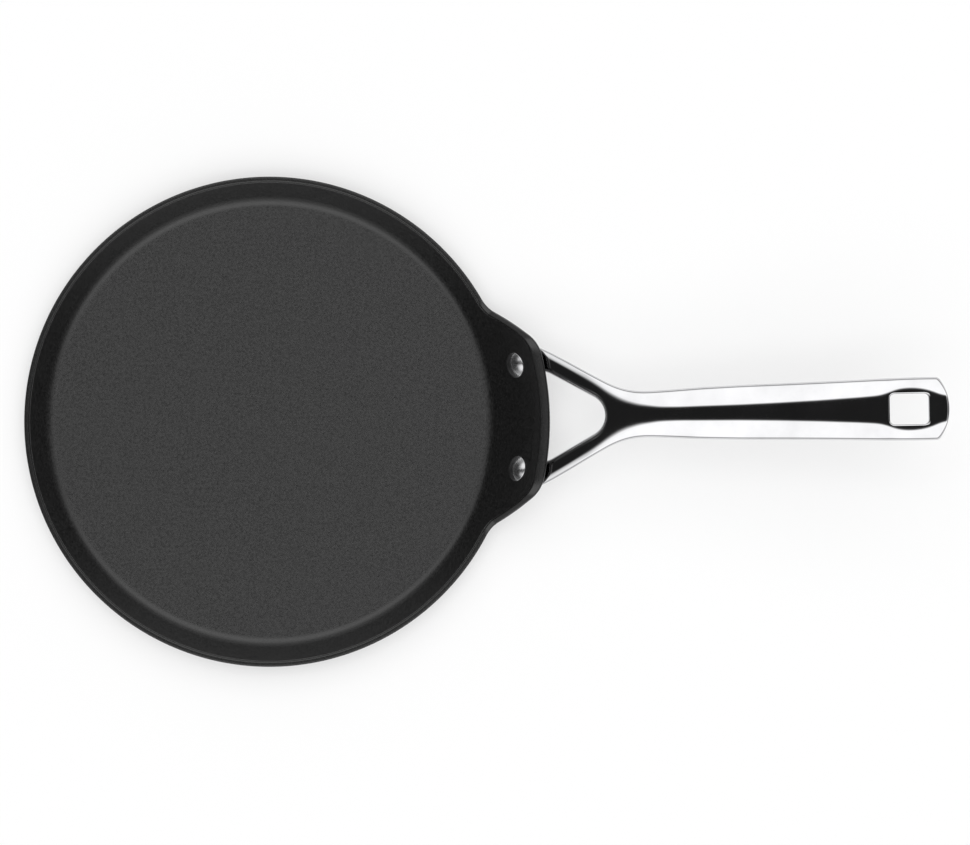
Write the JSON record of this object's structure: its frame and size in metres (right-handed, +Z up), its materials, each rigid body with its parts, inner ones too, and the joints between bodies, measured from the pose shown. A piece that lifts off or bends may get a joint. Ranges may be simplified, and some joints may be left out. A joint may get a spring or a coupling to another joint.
{
  "type": "crepe pan",
  "caption": "Shallow round crepe pan with a low sloping wall, a raised handle tongue and a forked metal handle that ends in a hanging hole.",
  "frame": {"origin": "middle of the underside of the base", "axes": "+Z up out of the pan, +X from the middle of the pan along the handle to its hanging hole"},
  "size_m": [0.4595, 0.246, 0.0729],
  "materials": {
    "coated_aluminium": "forged aluminium with a satin black coating outside",
    "nonstick_coating": "fine-grained dark grey non-stick coating",
    "induction_steel": "turned stainless steel",
    "polished_steel": "mirror-polished cast stainless steel",
    "rivet_steel": "polished stainless steel"
  },
  "bodies": {
    "root": {"pan_body": "coated_aluminium", "nonstick_coating": "nonstick_coating", "induction_plate": "induction_steel", "handle": "polished_steel", "rivet_left": "rivet_steel", "rivet_right": "rivet_steel"}
  },
  "joints": []
}
